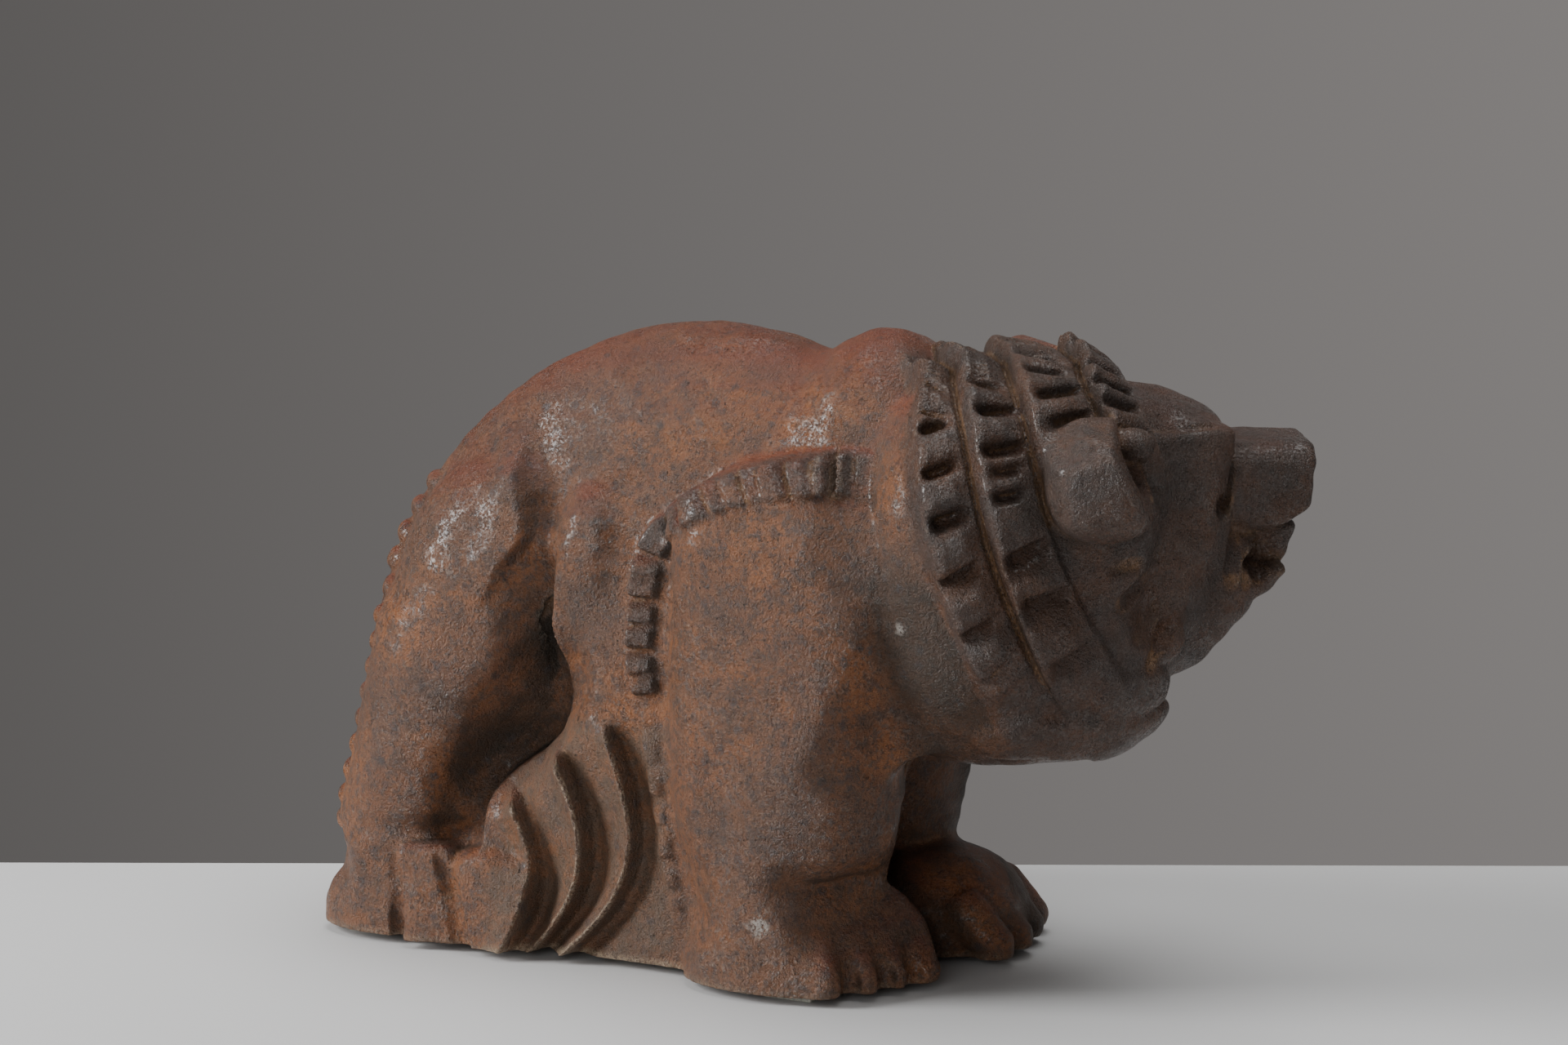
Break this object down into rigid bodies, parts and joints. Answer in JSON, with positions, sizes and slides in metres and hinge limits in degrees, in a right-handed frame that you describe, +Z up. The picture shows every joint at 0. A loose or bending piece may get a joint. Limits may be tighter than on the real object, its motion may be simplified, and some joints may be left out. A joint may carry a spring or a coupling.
{
  "type": "bear sculpture",
  "caption": "Standing bear of glazed stoneware, its head turned to the left in a ruff of carved tufts, with fluted rock under the belly, on small pads.",
  "frame": {"origin": "middle of the bounding box, at the height of the table under the pads", "axes": "+X along the body towards the head end, +Y to the bear's left, +Z up"},
  "size_m": [0.5114, 0.217, 0.332],
  "materials": {
    "stoneware": "semi-gloss",
    "felt": "matte"
  },
  "bodies": {
    "root": {"bear": "stoneware", "pad_front_right": "felt", "pad_front_left": "felt", "pad_rear_right": "felt", "pad_rear_left": "felt"}
  },
  "joints": []
}
